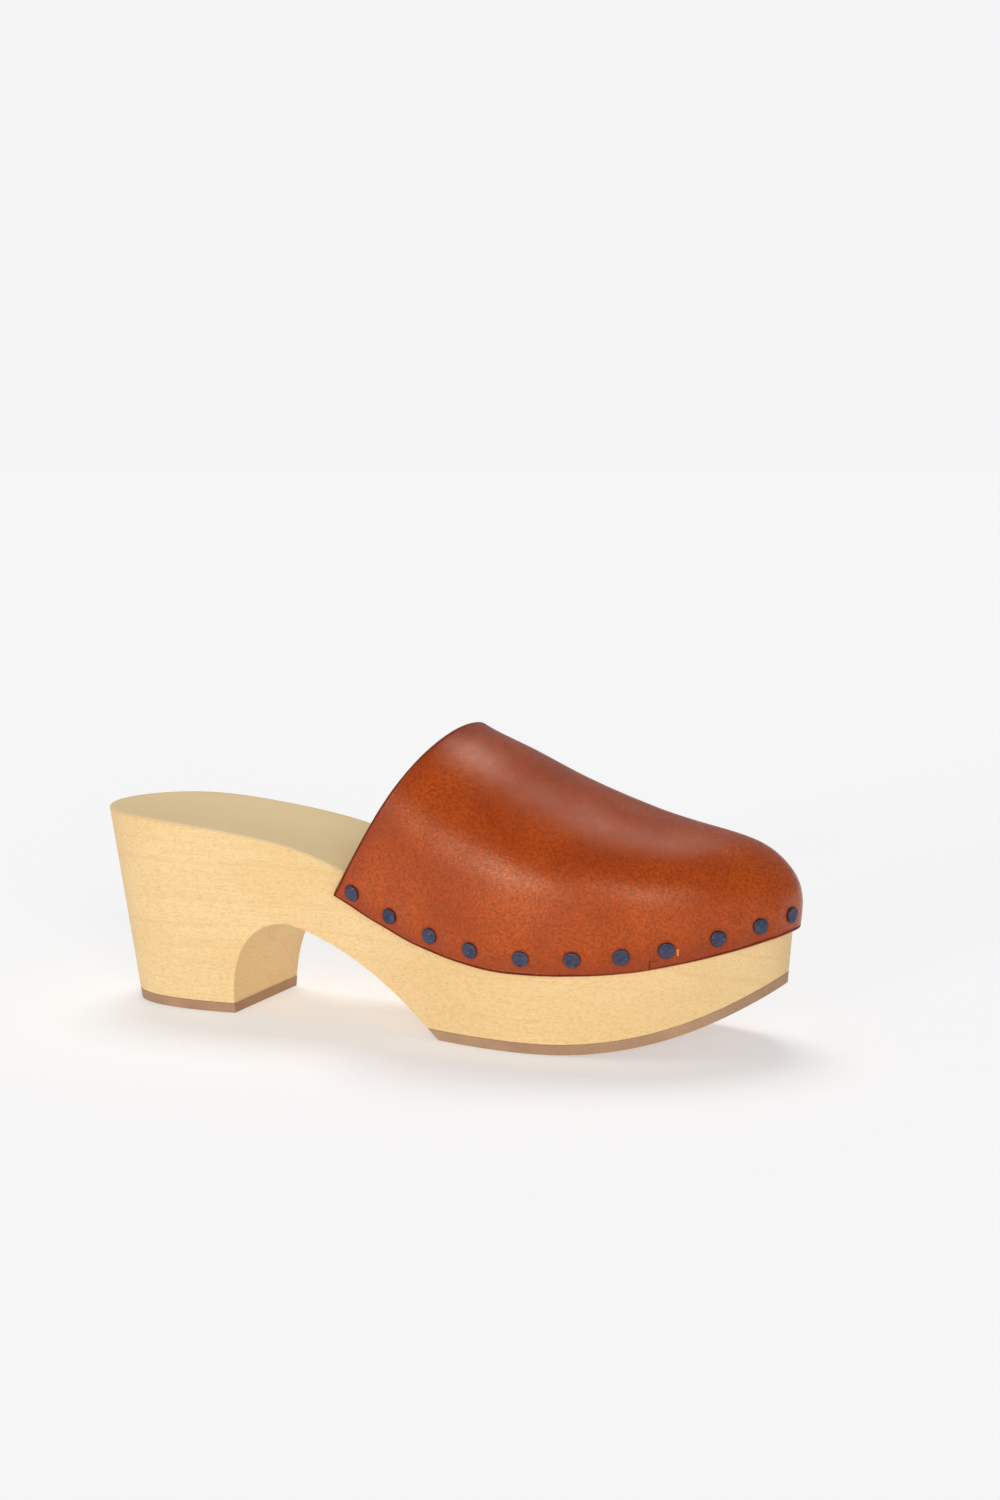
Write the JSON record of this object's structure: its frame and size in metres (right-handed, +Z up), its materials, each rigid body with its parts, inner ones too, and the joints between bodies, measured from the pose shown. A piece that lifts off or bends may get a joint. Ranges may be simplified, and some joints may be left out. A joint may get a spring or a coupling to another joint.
{
  "type": "wooden clog",
  "caption": "Right wooden-soled mule clog: carved block heel and arched platform, leather upper tacked round the edge, rubber treads.",
  "frame": {"origin": "on the ground under the middle of the clog's box", "axes": "+X from heel to toe, +Y to the inner (medial) side of this right shoe, +Z up"},
  "size_m": [0.2476, 0.083, 0.1011],
  "materials": {
    "wood": "pale close-grained wood, sanded and oiled, satin",
    "leather": "smooth chestnut vegetable-tanned leather, polished",
    "puff": "stiffened leather board, matt",
    "tread_rubber": "tan crepe-coloured rubber sheet, matt",
    "tack_steel": "blued steel, dull"
  },
  "bodies": {
    "root": {"wood_base": "wood", "leather_upper": "leather", "toe_puff": "puff", "forefoot_outsole": "tread_rubber", "heel_lift": "tread_rubber", "upper_tacks": "tack_steel"}
  },
  "joints": []
}
